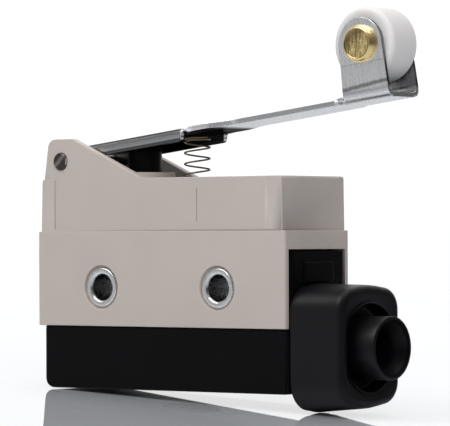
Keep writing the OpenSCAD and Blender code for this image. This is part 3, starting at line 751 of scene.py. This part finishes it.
# the sheet's thickness, less on the ears, and its broken edges
lever = add_object("lever_pressed", bm, MATERIALS["stainless_steel"])
group = lever.vertex_groups.new(name="thickness")
group.add([i for i in range(len(lever.data.vertices)) if i not in thin_index], 1.0, "REPLACE")
group.add(sorted(thin_index), EAR_T / SHEET_T, "REPLACE")
solid = lever.modifiers.new("sheet", "SOLIDIFY")
solid.thickness = SHEET_T * MM
solid.offset = 0
solid.use_even_offset = True
solid.vertex_group = "thickness"
bevel = lever.modifiers.new("edges", "BEVEL")
bevel.width = 0.06 * MM
bevel.segments = 2
bevel.limit_method = "ANGLE"
bevel.angle_limit = math.radians(50)
bevel.use_clamp_overlap = False
bevel.harden_normals = False
keep_flats_flat(lever)
place_piece(lever, "lever", "lever")


# ---------- springs ----------

def coil(bm, cx, mean_r, wire_r, z0, z1, turns, sides=12, steps=40):
    """A round wire wound up round Z, its first and last coils closed and its ends cut square."""
    closed = 1.2
    closed_pitch = 2.2 * wire_r
    pitch = (z1 - z0 - 2 * wire_r - 2 * closed * closed_pitch) / (turns - 2 * closed)
    rings = []
    for i in range(round(turns * steps) + 1):
        t = i / steps
        z = z0 + wire_r + closed_pitch * (min(t, closed) + max(0, t - turns + closed))
        z += pitch * max(0, min(t, turns - closed) - closed)
        a = 2 * math.pi * t
        ring = []
        for dr, dz in arc(0, 0, wire_r, 0, 360 * (sides - 1) / sides, sides - 1):
            ring.append((cx + (mean_r + dr) * math.cos(a), (mean_r + dr) * math.sin(a), z + dz))
        rings.append(ring)
    add_loft(bm, rings)


bm = bmesh.new()
coil(bm, SPRING_X, 2.15, 0.155, ROOF_Z - 0.88, 25.5, 6)
spring = new_piece("return_spring_wound", bm, "housing", "bronze_wire", "return_spring")
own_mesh(spring)

bm = bmesh.new()
coil(bm, PLUNGER_X, 1.0, 0.135, 16.52, 21.48, 7, sides=8, steps=28)
inner_spring = new_piece("overtravel_spring_wound", bm, "housing", "spring_steel", "overtravel_spring")
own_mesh(inner_spring)


# ---------- roller and rivet ----------

FRONT_EDGE, BACK_EDGE = 0.8, 0.75
front, back = ROLLER_SHIFT - ROLLER_W / 2, ROLLER_SHIFT + ROLLER_W / 2
profile = [(1.55, front + 0.05), (2.6, front), (2.75, front + 0.06), (4.6, front + 0.06), (4.8, front)]
profile += arc(ROLLER_R - FRONT_EDGE, front + FRONT_EDGE, FRONT_EDGE, -90, -2, 8)
profile += [(ROLLER_R, ROLLER_SHIFT)]
profile += arc(ROLLER_R - BACK_EDGE, back - BACK_EDGE, BACK_EDGE, 0, 88, 8)
profile += [(4.8, back), (4.6, back - 0.06), (2.75, back - 0.06), (2.6, back), (1.55, back - 0.05)]
bm = bmesh.new()
add_loft(bm, revolve_rings(profile, 128, on_roller), loop=True)
new_piece("roller_turned", bm, "roller", "white_plastic", "roller")

HEAD_R, HEAD_T, DISH_R, DISH_DEPTH, HAMMER = 3.05, 1.25, 2.28, 0.12, 0.07
near, far = BRACKET_SHIFT - BRACKET_Y, BRACKET_SHIFT + BRACKET_Y
face_y = near - HEAD_T


def rivet_ring(r, y, hammer=0.0):
    """A ring of the rivet, with its points moved in and out by up to about hammer."""
    ring = []
    for a, b in arc(0, 0, r, 0, 356.25, 95):
        p = Vector((a, b, 0.0))
        dent = noise.noise(p * 1.9 + Vector((3.1, 7.7, 0.4))) + 0.5 * noise.noise(p * 4.3)
        ring.append(on_roller(a, b, y + hammer * dent))
    return ring


rings = [rivet_ring(AXIS_R, face_y + DISH_DEPTH)]
for k in range(1, 24):
    r = DISH_R * k / 23
    rings.append(rivet_ring(r, face_y + DISH_DEPTH, HAMMER * min(1, (DISH_R + 0.12 - r) / 0.3)))
for r, y in [(2.36, face_y + 0.08), (2.42, face_y + 0.02), (2.5, face_y), (2.6, face_y + 0.03),
             (2.72, face_y + 0.14), (2.86, face_y + 0.32), (2.98, face_y + 0.55), (HEAD_R, face_y + 0.8),
             (HEAD_R, near - 0.12), (HEAD_R - 0.1, near), (RIVET_R, near), (RIVET_R, far), (2.7, far),
             (2.8, far + 0.1), (2.8, far + 0.5), (2.65, far + 0.75), (2.4, far + 0.88), (1.2, far + 0.9),
             (0.4, far + 0.86), (AXIS_R, far + 0.86)]:
    rings.append(rivet_ring(r, y))
bm = bmesh.new()
add_loft(bm, rings)
new_piece("rivet_headed", bm, "lever", "rivet_brass", "roller_rivet", sharp=50)


# ---------- camera ----------

AZ, EL, ROLL = math.radians(39.041), math.radians(-0.400), math.radians(-0.229)
TARGET, CAMERA_AWAY = Vector((14.547, -8.725, 12.429)) * MM, 0.56222
back_dir = Vector((math.sin(AZ) * math.cos(EL), -math.cos(AZ) * math.cos(EL), math.sin(EL)))
level = Vector((math.cos(AZ), math.sin(AZ), 0.0))
upright = back_dir.cross(level)
right = level * math.cos(ROLL) + upright * math.sin(ROLL)
up = -level * math.sin(ROLL) + upright * math.cos(ROLL)
cam_data = bpy.data.cameras.new("camera")
cam_data.lens = 272.57
cam_data.sensor_width = 36
cam_data.clip_start, cam_data.clip_end = 0.01, 50
camera = bpy.data.objects.new("camera", cam_data)
turned = Matrix((right, up, back_dir)).transposed()
camera.matrix_world = Matrix.Translation(TARGET + back_dir * CAMERA_AWAY) @ turned.to_4x4()
bpy.context.scene.collection.objects.link(camera)
bpy.context.scene.camera = camera


# ---------- floor, room and lights ----------

# the switch stands on its cap's lower edge, and the glossy floor is tilted a little under it
FLOOR_TILT, FLOOR_HALF = math.radians(3.3), 6.0
floor_mesh = bpy.data.meshes.new("floor")
corners = [(x * FLOOR_HALF, y * FLOOR_HALF, 0) for x, y in ((-1, -1), (1, -1), (1, 1), (-1, 1))]
floor_mesh.from_pydata(corners, [], [(0, 1, 2, 3)])
floor = bpy.data.objects.new("floor", floor_mesh)
floor.rotation_euler = (0, FLOOR_TILT, 0)
floor.location = Vector((27.5, 0, CAP_BOTTOM - 0.02)) * MM
bpy.context.scene.collection.objects.link(floor)
sheet = Shader("floor_sheet", {"Roughness": 0.03, "IOR": 1.6, "Base Color": (0.53, 0.55, 0.585, 1)})
floor_mesh.materials.append(sheet.material)

# the room: white to the camera, and to everything else a dim grey with three soft glows
ROOM_DIM = 0.094
world = bpy.data.worlds.new("studio")
bpy.context.scene.world = world
world.use_nodes = True
tree = world.node_tree
tree.nodes.clear()


def world_node(kind, **settings):
    made = tree.nodes.new(kind)
    for key, value in settings.items():
        setattr(made, key, value)
    return made


coord = world_node("ShaderNodeTexCoord")


def glow(direction, edge, full, strength):
    """Soft glow round one direction: edge and full are cosines of its outer and inner limits."""
    dot = world_node("ShaderNodeVectorMath", operation="DOT_PRODUCT")
    dot.inputs[1].default_value = direction
    tree.links.new(coord.outputs["Generated"], dot.inputs[0])
    fade = world_node("ShaderNodeMapRange", interpolation_type="SMOOTHSTEP")
    for key, value in (("From Min", edge), ("From Max", full), ("To Min", 0.0), ("To Max", strength)):
        fade.inputs[key].default_value = value
    tree.links.new(dot.outputs["Value"], fade.inputs["Value"])
    return fade.outputs["Result"]


total = None
for part in (glow((-back_dir.x, -back_dir.y, 0.0), 0.55, 0.85, 1.35),
             glow((-back_dir.x, back_dir.y, 0.0), 0.6, 0.95, 0.34),
             glow((0.0, 0.0, 1.0), 0.1, 0.9, 0.33)):
    add = world_node("ShaderNodeMath", operation="ADD")
    add.inputs[0].default_value = ROOM_DIM
    if total is not None:
        tree.links.new(total, add.inputs[0])
    tree.links.new(part, add.inputs[1])
    total = add.outputs["Value"]
room = world_node("ShaderNodeBackground")
tree.links.new(total, room.inputs["Strength"])
white = world_node("ShaderNodeBackground")
white.inputs["Color"].default_value = (1, 1, 1, 1)
white.inputs["Strength"].default_value = 1.05
mix = world_node("ShaderNodeMixShader")
tree.links.new(world_node("ShaderNodeLightPath").outputs["Is Camera Ray"], mix.inputs["Fac"])
tree.links.new(room.outputs["Background"], mix.inputs[1])
tree.links.new(white.outputs["Background"], mix.inputs[2])
tree.links.new(mix.outputs["Shader"], world_node("ShaderNodeOutputWorld").inputs["Surface"])

LIGHT_AIM = Vector((0.01, 0, 0))


def softbox(name, place, size, watts):
    """A rectangular light that faces the switch."""
    data = bpy.data.lights.new(name, "AREA")
    data.shape = "RECTANGLE"
    data.size, data.size_y = size
    data.energy = watts
    obj = bpy.data.objects.new(name, data)
    obj.location = place
    obj.rotation_euler = (LIGHT_AIM - Vector(place)).to_track_quat("-Z", "Y").to_euler()
    bpy.context.scene.collection.objects.link(obj)
    return obj


softbox("key", (-0.24, -0.55, 0.72), (0.7, 0.5), 4.9)
softbox("top", (0.1, 0.15, 0.9), (0.9, 0.7), 3.7)
right_box = softbox("right", (0.6, -0.5, 0.35), (0.4, 0.5), 3.2)
# kept out of reflections, or it shows in the floor from behind
right_box.visible_glossy = False

view = bpy.context.scene.view_settings
view.view_transform = "Standard"
view.look = "None"
view.exposure = 0.0
view.gamma = 1.0
